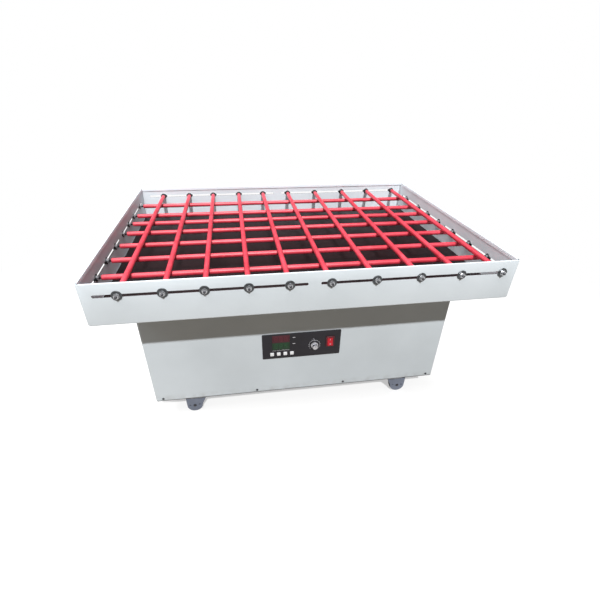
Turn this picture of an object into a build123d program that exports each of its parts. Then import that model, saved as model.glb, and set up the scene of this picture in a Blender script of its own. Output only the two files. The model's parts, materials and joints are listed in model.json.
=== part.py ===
"""Rocking platform shaker: a slotted tray of sliding clamp bars that rocks on a cabinet on casters.

Millimetres, +Z up. The origin is on the floor below the middle of the machine. X runs along
the tray's long side, and the control panel faces -Y.
"""

import os
from math import cos, radians, sin

from build123d import *

# ---- fits and gaps ----------------------------------------------------------------------------
running_fit = 0.05  # radial, between a shaft and its bearing
press_gap = 0.02  # radial, between a shaft and a hub that is clamped on it
move_gap = 0.3  # between faces that slide or swing past each other

# ---- cabinet ----------------------------------------------------------------------------------
base_width = 892.0
base_depth = 464.0
base_height = 324.0
sheet = 2.0  # cabinet and bottom pan
cover_corner_r = 6.0
cover_bend_r = 3.0
caster_height = 68.0  # floor to the underside of the cabinet

# ---- welded base frame ------------------------------------------------------------------------
rail_width = 30.0
rail_height = 28.0
rail_wall = 3.0
tower_x = 320.0  # casters, uprights and pillow blocks share this line
caster_beam_width = 64.0
tower_tube = 40.0
tower_half_span = 110.0
tower_beam_height = 38.0
motor_beam_y = 60.0
motor_beam_width = 40.0

# ---- pivot ------------------------------------------------------------------------------------
pivot_rise = 28.0  # cabinet top to the rocking axis
shaft_r = 10.0
shaft_end = 28.0  # shaft beyond each pillow block's middle
shaft_chamfer = 1.0
bearing_r = 17.0
bearing_width = 16.0
pillow_r = 22.0
pillow_width = 30.0
pillow_length = 106.0
pillow_foot = 9.0
pillow_shoulder = 64.0
pillow_bolt_span = 86.0
pillow_bolt_r = 4.0
bolt_flats = 13.0
bolt_head = 5.5
bolt_reach = 8.0  # bolt below the cabinet's top sheet

# ---- platform frame under the tray ------------------------------------------------------------
tray_gap = 55.0  # cabinet top to the tray's underside
frame_rail_width = 40.0
frame_rail_height = 15.0
frame_cross_x = 270.0
frame_cross_length = 600.0
frame_long_y = 180.0
clamp_width = 34.0
clamp_length = 44.0
clamp_below = 16.0  # clamp block below the shaft's axis

# ---- tray -------------------------------------------------------------------------------------
tray_length = 1000.0
tray_depth = 760.0
tray_height = 102.0
tray_wall = 2.0
tray_corner_r = 8.0
tray_bend_r = 3.0
hem_height = 10.0
hem_fold = 2.2
hem_edge = 0.8
slot_height = 6.6
slot_web = 29.0  # wall left between the two slots of a side
long_slot_margin = 27.0  # tray end to slot end, front and back walls
side_slot_margin = 35.0  # tray face to slot end, left and right walls
mat_thickness = 6.0
mat_gap = 3.0
mat_corner_r = 6.0

# ---- clamp bars -------------------------------------------------------------------------------
rod_r = 3.0
sleeve_r = 6.5
upper_bar_rise = 72.5  # tray underside to the axis of the front-to-back bars
layer_gap = 0.5  # between the sleeves of the two layers
nut_flats = 10.0
nut_height = 5.0
cap_nut_height = 12.0
# Where each bar is clamped: the share of its slot, counted from the middle of the tray outwards.
upper_settings_left = (0.897, 0.692, 0.498, 0.287, 0.085)
upper_settings_right = (0.047, 0.283, 0.521, 0.745, 0.977)
lower_settings_front = (0.75, 0.454, 0.159)
lower_settings_back = (0.025, 0.289, 0.532, 0.874)

# ---- drive ------------------------------------------------------------------------------------
crank_drop = 110.0  # rocking axis to the crank's axis
crank_throw = 14.0
crank_disc_r = 30.0
crank_disc = 10.0
crank_gap = 3.0  # slotted arm to crank disc
crank_pin_r = 4.0
roller_r = 8.0
roller_side_gap = 1.5  # roller to each side of the arm's slot
roller_overhang = 0.5
arm_thickness = 10.0
arm_hub_r = 22.0
arm_hub = 24.0
arm_end_r = 20.0
arm_slot_play = 3.0  # slot beyond the roller at each end
arm_port_gap = 8.0  # cabinet top around the swinging arm
drive_shaft_r = 7.0
drive_shaft_seat = 30.0
gearbox_size = 80.0
gearbox_height = 90.0
gearbox_round = 6.0
gearbox_gap = 6.0  # crank disc to gearbox
motor_r = 40.0
motor_length = 125.0
motor_cap = 18.0
motor_drop = 5.0  # motor axis below the crank's axis
stand_wall = 4.0
stand_foot = 18.0
stand_depth = 150.0

# ---- control panel ----------------------------------------------------------------------------
panel_width = 234.0
panel_height = 87.0
panel_thickness = 2.5
panel_rise = 173.5  # cabinet underside to the panel's middle
panel_lap = 8.0
display_x = -62.0
display_z = 13.0
display_size = 52.0
display_fit = 0.2
display_depth = 9.0
key_size = 11.0
key_pitch = 19.7
key_row_x = -59.3
key_row_z = -27.3
key_proud = 2.0
key_lip = 1.5
key_lip_thickness = 1.2
key_stem_r = 2.5
key_travel = 1.2
board_depth = 14.0  # panel's back to the board
board_width = 174.0
board_height = 66.0
board_thickness = 1.6
board_x = -20.0
board_post = 5.0
board_post_inset = 4.0
tact_size = 9.0
tact_height = 3.3
knob_x = 38.0
knob_z = -4.0
knob_skirt_r = 11.0
knob_skirt = 3.5
knob_cap_r = 8.0
knob_cap = 11.5
knob_gap = 0.5
knob_shaft_r = 3.0
knob_line = 1.2
encoder_size = 13.0
encoder_body = 6.5
encoder_bush_r = 5.0
knob_hole_gap = 0.5
switch_x = 85.0
switch_z = 4.5
switch_width = 26.0
switch_height = 37.0
switch_bezel = 2.5
switch_corner_r = 3.0
switch_flange = 2.0
switch_body_depth = 24.0
rocker_width = 16.4
rocker_half = 13.2
rocker_rise = 7.0
rocker_crest = 1.6
rocker_pivot_depth = 3.5
rocker_bottom = 4.0
rocker_pin_r = 1.5
rocker_pin = 1.2
rocker_tilt = -8.0  # the upper end rests in
rocker_well_gap = 1.3
rocker_well_depth = 10.0

# ---- electrics at the back and inside ---------------------------------------------------------
inlet_x = -330.0
inlet_rise = 62.0
inlet_width = 50.0
inlet_height = 28.0
inlet_flange = 2.5
inlet_body_width = 40.0
inlet_body_height = 24.0
inlet_body_depth = 26.0
inlet_well_width = 24.0
inlet_well_height = 16.0
inlet_well_depth = 17.0
inlet_blade = (2.0, 4.0)
inlet_blade_pitch = 7.0
drive_unit_x = -190.0
drive_unit_width = 110.0
drive_unit_depth = 170.0
drive_unit_height = 45.0
fin_count = 9
fin_width = 4.0
fin_height = 22.0
vent_count = 8
vent_pitch = 12.0
vent_length = 70.0
vent_height = 4.0
vent_x = 250.0
vent_rise = 60.0

# ---- casters ----------------------------------------------------------------------------------
caster_inset = 27.0  # cabinet's front or back face to the kingpins
caster_headings = (184.0, 356.0, 250.0, 318.0)  # degrees: front left, front right, back left, back right
caster_trail = 18.0
wheel_r = 25.0
wheel_width = 18.0
wheel_gap = 1.2
axle_r = 4.0
axle_head = 1.5
cheek_wall = 2.5
cheek_r = 21.0
cheek_top = 60.0
crown_thickness = 2.5
crown_r = 24.0
caster_plate = 50.0
caster_plate_thickness = 3.0
kingpin_r = 5.0

# ---- places worked out from the sizes ---------------------------------------------------------
base_bottom = caster_height
base_top = base_bottom + base_height
front_y = -base_depth / 2
back_y = base_depth / 2
caster_y = base_depth / 2 - caster_inset
pan_top = base_bottom + sheet
frame_length = base_width - 2 * sheet
frame_width = base_depth - 2 * sheet
beam_top = pan_top + rail_height - rail_wall
cover_inside_top = base_top - sheet
pivot_z = base_top + pivot_rise
tray_bottom = base_top + tray_gap
tray_floor = tray_bottom + tray_wall
tray_top = tray_bottom + tray_height
frame_bottom = tray_bottom - frame_rail_height
upper_bar_z = tray_bottom + upper_bar_rise
lower_bar_z = upper_bar_z - 2 * sleeve_r - layer_gap
crank_z = pivot_z - crank_drop
crank_disc_x = arm_thickness / 2 + crank_gap
gearbox_x = crank_disc_x + crank_disc + gearbox_gap
gearbox_bottom = crank_z - gearbox_height / 2
panel_z = base_bottom + panel_rise
panel_front = front_y - panel_thickness
board_front = front_y + board_depth


def save(part, label):
    """Label a finished piece and write it as one STEP file."""
    part.label = label
    export_step(part, f"parts/{label}.step")


def group(label, pieces):
    """Write several solids as one named node."""
    save(Compound(children=list(pieces)), label)


def front_plane(y):
    """A plane facing the front at the given depth: its x is X and its y is Z."""
    return Plane.XZ.offset(-y)


def channel(width, height, wall):
    """Draw a channel open downwards, with the middle of its top at the sketch's origin."""
    Rectangle(width, height, align=(Align.CENTER, Align.MAX))
    with Locations((0, -wall)):
        Rectangle(width - 2 * wall, height, align=(Align.CENTER, Align.MAX), mode=Mode.SUBTRACT)


os.makedirs("parts", exist_ok=True)

# ================================ cabinet =======================================================
arm_port_y = arm_hub_r + pivot_rise * sin(radians(10)) + arm_port_gap / 2
with BuildPart() as base_cover:
    with BuildSketch(Plane.XY.offset(base_bottom)):
        RectangleRounded(base_width, base_depth, cover_corner_r)
    extrude(amount=base_height)
    fillet(base_cover.faces().sort_by(Axis.Z)[-1].edges(), cover_bend_r)
    with BuildSketch(Plane.XY.offset(base_bottom)):
        RectangleRounded(frame_length, frame_width, cover_corner_r - sheet)
    extrude(amount=base_height - sheet, mode=Mode.SUBTRACT)
    # port for the slotted arm
    with BuildSketch(Plane.XY.offset(cover_inside_top)):
        RectangleRounded(arm_thickness + 2 * arm_port_gap, 2 * arm_port_y, arm_port_gap)
    extrude(amount=sheet, mode=Mode.SUBTRACT)
    # clearance holes for the pillow block bolts
    with BuildSketch(Plane.XY.offset(cover_inside_top)):
        with GridLocations(2 * tower_x, pillow_bolt_span, 2, 2):
            Circle(pillow_bolt_r)
    extrude(amount=sheet, mode=Mode.SUBTRACT)
    # window behind the control panel
    with BuildSketch(front_plane(front_y)):
        with Locations((0, panel_z)):
            Rectangle(panel_width - 2 * panel_lap, panel_height - 2 * panel_lap)
    extrude(amount=-sheet, mode=Mode.SUBTRACT)
    # power inlet and louvres in the back
    with BuildSketch(front_plane(back_y)):
        with Locations((inlet_x, base_bottom + inlet_rise)):
            Rectangle(inlet_body_width, inlet_body_height)
        for side in (-1, 1):
            for row in range(vent_count):
                with Locations((side * vent_x, base_top - vent_rise - row * vent_pitch)):
                    Rectangle(vent_length, vent_height)
    extrude(amount=sheet, mode=Mode.SUBTRACT)
save(base_cover.part, "base_cover")

with BuildPart() as bottom_pan:
    with BuildSketch(Plane.XY.offset(base_bottom)):
        RectangleRounded(frame_length, frame_width, cover_corner_r - sheet)
    extrude(amount=sheet)
save(bottom_pan.part, "bottom_pan")

# ================================ base frame ====================================================
with BuildPart() as base_frame:
    # perimeter channel, open to the inside
    with BuildSketch(Plane.XY.offset(pan_top)):
        RectangleRounded(frame_length, frame_width, cover_corner_r - sheet)
        Rectangle(frame_length - 2 * rail_width, frame_width - 2 * rail_width, mode=Mode.SUBTRACT)
    extrude(amount=rail_height)
    with BuildSketch(Plane.XY.offset(pan_top + rail_wall)):
        Rectangle(frame_length - 2 * rail_wall, frame_width - 2 * rail_wall)
        Rectangle(frame_length - 2 * rail_width, frame_width - 2 * rail_width, mode=Mode.SUBTRACT)
    extrude(amount=rail_height - 2 * rail_wall, mode=Mode.SUBTRACT)
    # beams over the casters
    for x in (-tower_x, tower_x):
        with BuildSketch(Plane.XZ):
            with Locations((x, beam_top)):
                channel(caster_beam_width, beam_top - pan_top, rail_wall)
        extrude(amount=frame_width / 2 - rail_wall, both=True)
    # beams under the motor
    for y in (-motor_beam_y, motor_beam_y):
        with BuildSketch(Plane.YZ):
            with Locations((y, beam_top)):
                channel(motor_beam_width, beam_top - pan_top, rail_wall)
        extrude(amount=tower_x - caster_beam_width / 2, both=True)
    # four uprights of square tube
    with BuildSketch(Plane.XY.offset(beam_top)):
        with GridLocations(2 * tower_x, 2 * tower_half_span, 2, 2):
            Rectangle(tower_tube, tower_tube)
            Rectangle(tower_tube - 2 * rail_wall, tower_tube - 2 * rail_wall, mode=Mode.SUBTRACT)
    extrude(amount=cover_inside_top - tower_beam_height - beam_top)
    # beams under the pillow blocks
    for x in (-tower_x, tower_x):
        with BuildSketch(Plane.XZ):
            with Locations((x, cover_inside_top)):
                channel(tower_tube, tower_beam_height, rail_wall)
        extrude(amount=tower_half_span + tower_tube / 2, both=True)
    with BuildSketch(Plane.XY.offset(cover_inside_top)):
        with GridLocations(2 * tower_x, pillow_bolt_span, 2, 2):
            Circle(pillow_bolt_r)
    extrude(amount=-rail_wall, mode=Mode.SUBTRACT)
save(base_frame.part, "base_frame")


# ================================ pivot =========================================================
blocks = []
bearings = []
for x in (-tower_x, tower_x):
    with BuildPart() as pillow_block:
        with BuildSketch(Plane.YZ.offset(x)):
            with Locations((0, base_top)):
                Rectangle(pillow_length, pillow_foot, align=(Align.CENTER, Align.MIN))
            with Locations((0, base_top + pillow_foot)):
                Trapezoid(pillow_shoulder, pivot_rise - pillow_foot, 45, align=(Align.CENTER, Align.MIN))
            with Locations((0, pivot_z)):
                Circle(pillow_r)
                Circle(bearing_r, mode=Mode.SUBTRACT)
        extrude(amount=pillow_width / 2, both=True)
        with BuildSketch(Plane.XY.offset(base_top)):
            with Locations((x, -pillow_bolt_span / 2), (x, pillow_bolt_span / 2)):
                Circle(pillow_bolt_r)
        extrude(amount=pillow_foot, mode=Mode.SUBTRACT)
    blocks.append(pillow_block.part)
    with BuildPart() as bearing:
        with BuildSketch(Plane.YZ.offset(x)):
            with Locations((0, pivot_z)):
                Circle(bearing_r - press_gap)
                Circle(shaft_r + running_fit, mode=Mode.SUBTRACT)
        extrude(amount=bearing_width / 2, both=True)
    bearings.append(bearing.part)
group("pillow_blocks", blocks)
group("pivot_bearings", bearings)

bolts = []
for x in (-tower_x, tower_x):
    for y in (-pillow_bolt_span / 2, pillow_bolt_span / 2):
        seat = Plane(origin=(x, y, base_top + pillow_foot))
        with BuildPart() as bolt:
            with BuildSketch(seat):
                RegularPolygon(bolt_flats / 2, 6, major_radius=False)
            extrude(amount=bolt_head)
            with BuildSketch(seat):
                Circle(pillow_bolt_r)
            extrude(amount=-(pillow_foot + sheet + bolt_reach))
        bolts.append(bolt.part)
group("pillow_bolts", bolts)

with BuildPart() as pivot_shaft:
    with BuildSketch(Plane.YZ):
        with Locations((0, pivot_z)):
            Circle(shaft_r)
    extrude(amount=tower_x + shaft_end, both=True)
    chamfer(pivot_shaft.edges().filter_by(GeomType.CIRCLE), shaft_chamfer)
save(pivot_shaft.part, "pivot_shaft")

# ================================ platform frame ================================================
frame_pieces = []
cross_rails = [(x, 0, frame_rail_width, frame_cross_length) for x in (-frame_cross_x, frame_cross_x)]
long_rail = 2 * frame_cross_x - frame_rail_width
long_rails = [(0, y, long_rail, frame_rail_width) for y in (-frame_long_y, frame_long_y)]
for x, y, length, width in cross_rails + long_rails:
    with BuildPart() as rail:
        with BuildSketch(Plane.XY.offset(tray_bottom)):
            with Locations((x, y)):
                Rectangle(length, width)
        extrude(amount=-frame_rail_height)
    frame_pieces.append(rail.part)
for x in (-frame_cross_x, frame_cross_x):
    with BuildPart() as shaft_clamp:
        with BuildSketch(Plane.XY.offset(frame_bottom)):
            with Locations((x, 0)):
                Rectangle(clamp_width, clamp_length)
        extrude(amount=-(frame_bottom - pivot_z + clamp_below))
        with BuildSketch(Plane.YZ):
            with Locations((0, pivot_z)):
                Circle(shaft_r + press_gap)
        extrude(amount=tower_x, both=True, mode=Mode.SUBTRACT)
    frame_pieces.append(shaft_clamp.part)
group("platform_frame", frame_pieces)

# ================================ tray ==========================================================
inner_length = tray_length - 2 * tray_wall
inner_depth = tray_depth - 2 * tray_wall
inner_corner_r = tray_corner_r - tray_wall
long_slot = tray_length / 2 - long_slot_margin - slot_web / 2
side_slot = tray_depth / 2 - side_slot_margin - slot_web / 2
with BuildPart() as tray:
    with BuildSketch(Plane.XY.offset(tray_bottom)):
        RectangleRounded(tray_length, tray_depth, tray_corner_r)
    extrude(amount=tray_height)
    fillet(tray.faces().sort_by(Axis.Z)[0].edges(), tray_bend_r)
    with BuildSketch(Plane.XY.offset(tray_floor)):
        RectangleRounded(inner_length, inner_depth, inner_corner_r)
    extrude(amount=tray_height, mode=Mode.SUBTRACT)
    # the wall's top is folded over to the inside
    with BuildSketch(Plane.XY.offset(tray_top - hem_height)):
        RectangleRounded(inner_length, inner_depth, inner_corner_r)
        offset(amount=-hem_fold, mode=Mode.SUBTRACT)
    extrude(amount=hem_height)
    chamfer(tray.faces().sort_by(Axis.Z)[-1].edges(), hem_edge)
    # slots for the bars
    with BuildSketch(Plane.XZ):
        for side in (-1, 1):
            with Locations((side * (slot_web + long_slot) / 2, upper_bar_z)):
                SlotOverall(long_slot, slot_height)
    extrude(amount=tray_depth / 2, both=True, mode=Mode.SUBTRACT)
    with BuildSketch(Plane.YZ):
        for side in (-1, 1):
            with Locations((side * (slot_web + side_slot) / 2, lower_bar_z)):
                SlotOverall(side_slot, slot_height)
    extrude(amount=tray_length / 2, both=True, mode=Mode.SUBTRACT)
save(tray.part, "tray")

with BuildPart() as rubber_mat:
    with BuildSketch(Plane.XY.offset(tray_floor)):
        RectangleRounded(inner_length - 2 * mat_gap, inner_depth - 2 * mat_gap, mat_corner_r)
    extrude(amount=mat_thickness)
save(rubber_mat.part, "rubber_mat")


# ================================ clamp bars ====================================================
def make_bar(label, middle, walls_apart):
    """A sleeved rod along the middle plane's normal, clamped to two walls of the tray by its nuts.

    Each wall stands between a plain nut on the rod inside and a closed nut on the rod's end outside.
    """
    outside = walls_apart / 2
    inside = outside - tray_wall
    with BuildPart() as rod:
        with BuildSketch(middle):
            Circle(rod_r)
        extrude(amount=outside, both=True)
    with BuildPart() as sleeve:
        with BuildSketch(middle):
            Circle(sleeve_r)
            Circle(rod_r, mode=Mode.SUBTRACT)
        extrude(amount=inside - nut_height, both=True)
    pieces = [rod.part, sleeve.part]
    for direction in (1, -1):
        end = Plane(origin=middle.origin, x_dir=middle.x_dir, z_dir=middle.z_dir * direction)
        with BuildPart() as inner_nut:
            with BuildSketch(end.offset(inside)):
                RegularPolygon(nut_flats / 2, 6, major_radius=False)
                Circle(rod_r, mode=Mode.SUBTRACT)
            extrude(amount=-nut_height)
        with BuildPart() as closed_nut:
            with BuildSketch(end.offset(outside)):
                RegularPolygon(nut_flats / 2, 6, major_radius=False)
            extrude(amount=cap_nut_height)
        pieces += [inner_nut.part, closed_nut.part]
    group(label, pieces)


def slot_place(setting, slot):
    """Distance from the tray's middle of a bar clamped at this share of a slot."""
    return slot_web / 2 + slot_height / 2 + setting * (slot - slot_height)


upper_x = [-slot_place(setting, long_slot) for setting in upper_settings_left]
upper_x += [slot_place(setting, long_slot) for setting in upper_settings_right]
for number, x in enumerate(upper_x, 1):
    middle = Plane(origin=(x, 0, upper_bar_z), x_dir=(1, 0, 0), z_dir=(0, 1, 0))
    make_bar(f"upper_bar_{number}", middle, tray_depth)

lower_y = [-slot_place(setting, side_slot) for setting in lower_settings_front]
lower_y += [slot_place(setting, side_slot) for setting in lower_settings_back]
for number, y in enumerate(lower_y, 1):
    middle = Plane(origin=(0, y, lower_bar_z), x_dir=(0, 1, 0), z_dir=(1, 0, 0))
    make_bar(f"lower_bar_{number}", middle, tray_length)

# ================================ rocking drive =================================================
arm_slot_travel = 2 * crank_throw + 2 * arm_slot_play
arm_slot_width = 2 * (roller_r + roller_side_gap)
with BuildPart() as rocker_arm:
    with BuildSketch(Plane.YZ):
        with Locations((0, pivot_z)):
            Circle(arm_hub_r)
        with Locations((0, crank_z - crank_throw)):
            Circle(arm_end_r)
        make_hull()
        with Locations((0, crank_z)):
            SlotCenterToCenter(arm_slot_travel, arm_slot_width, rotation=90, mode=Mode.SUBTRACT)
    extrude(amount=arm_thickness / 2, both=True)
    with BuildSketch(Plane.YZ):
        with Locations((0, pivot_z)):
            Circle(arm_hub_r)
            Rectangle(2 * arm_hub_r, tray_bottom - pivot_z, align=(Align.CENTER, Align.MIN))
    extrude(amount=arm_hub / 2, both=True)
    with BuildSketch(Plane.YZ):
        with Locations((0, pivot_z)):
            Circle(shaft_r + press_gap)
    extrude(amount=arm_hub, both=True, mode=Mode.SUBTRACT)
save(rocker_arm.part, "rocker_arm")

roller_half = arm_thickness / 2 + roller_overhang
with BuildPart() as crank_disc_part:
    with BuildSketch(Plane.YZ.offset(crank_disc_x)):
        with Locations((0, crank_z)):
            Circle(crank_disc_r)
            Circle(drive_shaft_r, mode=Mode.SUBTRACT)
    extrude(amount=crank_disc)
    with BuildSketch(Plane.YZ.offset(crank_disc_x)):
        with Locations((0, crank_z - crank_throw)):
            Circle(crank_pin_r)
    extrude(amount=-(crank_disc_x + roller_half))
save(crank_disc_part.part, "crank_disc")

with BuildPart() as crank_roller:
    with BuildSketch(Plane.YZ):
        with Locations((0, crank_z - crank_throw)):
            Circle(roller_r)
            Circle(crank_pin_r, mode=Mode.SUBTRACT)
    extrude(amount=roller_half, both=True)
save(crank_roller.part, "crank_roller")

with BuildPart() as drive_shaft:
    with BuildSketch(Plane.YZ.offset(crank_disc_x)):
        with Locations((0, crank_z)):
            Circle(drive_shaft_r)
    extrude(amount=crank_disc + gearbox_gap + drive_shaft_seat)
save(drive_shaft.part, "drive_shaft")

motor_x = gearbox_x + gearbox_size / 2
motor_z = crank_z - motor_drop
with BuildPart() as gearbox:
    with BuildSketch(Plane.YZ.offset(gearbox_x)):
        with Locations((0, crank_z)):
            RectangleRounded(gearbox_size, gearbox_height, gearbox_round)
    extrude(amount=gearbox_size)
    with BuildSketch(Plane.YZ.offset(gearbox_x)):
        with Locations((0, crank_z)):
            Circle(drive_shaft_r + running_fit)
    extrude(amount=drive_shaft_seat + move_gap, mode=Mode.SUBTRACT)
with BuildPart() as motor:
    with BuildSketch(front_plane(gearbox_size / 2)):
        with Locations((motor_x, motor_z)):
            Circle(motor_r)
    extrude(amount=-motor_length)
    with BuildSketch(front_plane(gearbox_size / 2 + motor_length)):
        with Locations((motor_x, motor_z)):
            Circle(motor_r - cheek_wall)
    extrude(amount=-motor_cap)
group("gear_motor", [gearbox.part, motor.part])

with BuildPart() as motor_stand:
    with BuildSketch(Plane.XZ):
        with Locations((motor_x, gearbox_bottom)):
            channel(gearbox_size, gearbox_bottom - beam_top, stand_wall)
        for side in (-1, 1):
            with Locations((motor_x + side * (gearbox_size + stand_foot) / 2, beam_top)):
                Rectangle(stand_foot, stand_wall, align=(Align.CENTER, Align.MIN))
    extrude(amount=stand_depth / 2, both=True)
save(motor_stand.part, "motor_stand")

with BuildPart() as drive_unit:
    with BuildSketch(Plane.XY.offset(beam_top)):
        with Locations((drive_unit_x, 0)):
            RectangleRounded(drive_unit_width, drive_unit_depth, cover_corner_r)
    extrude(amount=drive_unit_height)
    fin_pitch = (drive_unit_width - 2 * cover_corner_r - fin_width) / (fin_count - 1)
    with BuildSketch(Plane.XY.offset(beam_top + drive_unit_height)):
        with Locations((drive_unit_x, 0)):
            with GridLocations(fin_pitch, 0, fin_count, 1):
                Rectangle(fin_width, drive_unit_depth - 2 * cover_corner_r)
    extrude(amount=fin_height)
save(drive_unit.part, "drive_unit")

with BuildPart() as power_inlet:
    inlet_z = base_bottom + inlet_rise
    with BuildSketch(front_plane(back_y)):
        with Locations((inlet_x, inlet_z)):
            RectangleRounded(inlet_width, inlet_height, inlet_flange)
    extrude(amount=-inlet_flange)
    with BuildSketch(front_plane(back_y)):
        with Locations((inlet_x, inlet_z)):
            Rectangle(inlet_body_width, inlet_body_height)
    extrude(amount=inlet_body_depth)
    with BuildSketch(front_plane(back_y + inlet_flange)):
        with Locations((inlet_x, inlet_z)):
            Rectangle(inlet_well_width, inlet_well_height)
    extrude(amount=inlet_well_depth, mode=Mode.SUBTRACT)
    with BuildSketch(front_plane(back_y + inlet_flange - inlet_well_depth)):
        with Locations((inlet_x, inlet_z)):
            with GridLocations(inlet_blade_pitch, 0, 3, 1):
                Rectangle(*inlet_blade)
    extrude(amount=-(inlet_well_depth - inlet_flange))
save(power_inlet.part, "power_inlet")

# ================================ control panel =================================================
key_spots = [(key_row_x + (column - 1.5) * key_pitch, panel_z + key_row_z) for column in range(4)]
well_half = rocker_half + rocker_well_gap
well_width = rocker_width + 2 * move_gap
switch_cutout_width = switch_width - 2 * switch_flange
switch_cutout_height = switch_height - 2 * switch_flange
with BuildPart() as control_panel:
    with BuildSketch(front_plane(front_y)):
        with Locations((0, panel_z)):
            RectangleRounded(panel_width, panel_height, switch_corner_r)
        with Locations((display_x, panel_z + display_z)):
            Rectangle(display_size, display_size, mode=Mode.SUBTRACT)
        with Locations(*key_spots):
            Rectangle(key_size + 2 * move_gap, key_size + 2 * move_gap, mode=Mode.SUBTRACT)
        with Locations((knob_x, panel_z + knob_z)):
            Circle(knob_shaft_r + knob_hole_gap, mode=Mode.SUBTRACT)
        with Locations((switch_x, panel_z + switch_z)):
            Rectangle(switch_cutout_width, switch_cutout_height, mode=Mode.SUBTRACT)
    extrude(amount=panel_thickness)
save(control_panel.part, "control_panel")

with BuildPart() as display_window:
    with BuildSketch(front_plane(panel_front)):
        with Locations((display_x, panel_z + display_z)):
            Rectangle(display_size - 2 * display_fit, display_size - 2 * display_fit)
    extrude(amount=-panel_thickness)
save(display_window.part, "display_window")

with BuildPart() as board:
    with BuildSketch(front_plane(board_front)):
        with Locations((board_x, panel_z)):
            Rectangle(board_width, board_height)
    extrude(amount=-board_thickness)
    # display module behind the window, key switches, corner posts and the knob's encoder
    with BuildSketch(front_plane(board_front)):
        with Locations((display_x, panel_z + display_z)):
            Rectangle(display_size - 4, display_size - 4)
    extrude(amount=display_depth)
    with BuildSketch(front_plane(board_front)):
        with Locations(*key_spots):
            Rectangle(tact_size, tact_size)
    extrude(amount=tact_height)
    with BuildSketch(front_plane(board_front)):
        with Locations((board_x, panel_z)):
            with GridLocations(board_width - 2 * board_post_inset, board_height - 2 * board_post_inset, 2, 2):
                Rectangle(board_post, board_post)
    extrude(amount=board_depth)
    with BuildSketch(front_plane(board_front)):
        with Locations((knob_x, panel_z + knob_z)):
            Rectangle(encoder_size, encoder_size)
    extrude(amount=encoder_body)
    with BuildSketch(front_plane(board_front)):
        with Locations((knob_x, panel_z + knob_z)):
            Circle(encoder_bush_r)
    extrude(amount=board_depth)
    with BuildSketch(front_plane(board_front)):
        with Locations((knob_x, panel_z + knob_z)):
            Circle(knob_shaft_r + running_fit)
    extrude(amount=board_depth, mode=Mode.SUBTRACT)
save(board.part, "control_board")

for number, (x, z) in enumerate(key_spots, 1):
    with BuildPart() as key:
        with BuildSketch(front_plane(panel_front - key_proud)):
            with Locations((x, z)):
                Rectangle(key_size, key_size)
        extrude(amount=-(key_proud + panel_thickness + move_gap))
        with BuildSketch(front_plane(front_y + move_gap)):
            with Locations((x, z)):
                Rectangle(key_size + 2 * key_lip, key_size + 2 * key_lip)
        extrude(amount=-key_lip_thickness)
        with BuildSketch(front_plane(front_y + move_gap + key_lip_thickness)):
            with Locations((x, z)):
                Circle(key_stem_r)
        extrude(amount=-(board_depth - tact_height - key_travel - 2 * move_gap - key_lip_thickness))
    save(key.part, f"key_{number}")

with BuildPart() as speed_knob:
    knob_back = panel_front - knob_gap
    with BuildSketch(front_plane(knob_back)):
        with Locations((knob_x, panel_z + knob_z)):
            Circle(knob_skirt_r)
    extrude(amount=knob_skirt)
    with BuildSketch(front_plane(knob_back - knob_skirt)):
        with Locations((knob_x, panel_z + knob_z)):
            Circle(knob_cap_r)
    extrude(amount=knob_cap)
    # pointer line cut in the cap's face
    with BuildSketch(front_plane(knob_back - knob_skirt - knob_cap)):
        with Locations((knob_x, panel_z + knob_z)):
            Rectangle(knob_line, knob_cap_r + knob_line, align=(Align.CENTER, Align.MIN))
    extrude(amount=-knob_line, mode=Mode.SUBTRACT)
    with BuildSketch(front_plane(knob_back)):
        with Locations((knob_x, panel_z + knob_z)):
            Circle(knob_shaft_r)
    extrude(amount=-(knob_gap + panel_thickness + board_depth - move_gap))
save(speed_knob.part, "speed_knob")

switch_centre = (switch_x, panel_z + switch_z)
bezel_front = panel_front - switch_bezel
rocker_pivot_y = bezel_front + rocker_pivot_depth
with BuildPart() as power_switch:
    with BuildSketch(front_plane(panel_front)):
        with Locations(switch_centre):
            RectangleRounded(switch_width, switch_height, switch_corner_r)
    extrude(amount=switch_bezel)
    with BuildSketch(front_plane(panel_front)):
        with Locations(switch_centre):
            Rectangle(switch_cutout_width - 2 * display_fit, switch_cutout_height - 2 * display_fit)
    extrude(amount=-switch_body_depth)
    with BuildSketch(front_plane(bezel_front)):
        with Locations(switch_centre):
            Rectangle(well_width, 2 * well_half)
    extrude(amount=-rocker_well_depth, mode=Mode.SUBTRACT)
    with BuildSketch(Plane.YZ.offset(switch_x)):
        with Locations((rocker_pivot_y, switch_centre[1])):
            Circle(rocker_pin_r + running_fit)
    extrude(amount=well_width / 2 + rocker_pin, both=True, mode=Mode.SUBTRACT)
save(power_switch.part, "power_switch")

# The rocker's outline is drawn about its pivot pin and then tipped, as it rests with one end in.
tip = Plane(
    origin=(switch_x, rocker_pivot_y, switch_centre[1]),
    x_dir=(0, cos(radians(rocker_tilt)), sin(radians(rocker_tilt))),
    z_dir=(1, 0, 0),
)
with BuildPart() as power_rocker:
    with BuildSketch(tip):
        with BuildLine():
            Polyline(
                (rocker_bottom, -rocker_half / 2),
                (-rocker_rise + rocker_crest, -rocker_half),
                (-rocker_rise + 2 * rocker_crest, 0),
                (-rocker_rise + rocker_crest, rocker_half),
                (rocker_bottom, rocker_half / 2),
                close=True,
            )
        make_face()
    extrude(amount=rocker_width / 2, both=True)
    with BuildSketch(tip):
        Circle(rocker_pin_r)
    extrude(amount=well_width / 2 + rocker_pin - move_gap, both=True)
save(power_rocker.part, "power_rocker")

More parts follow.
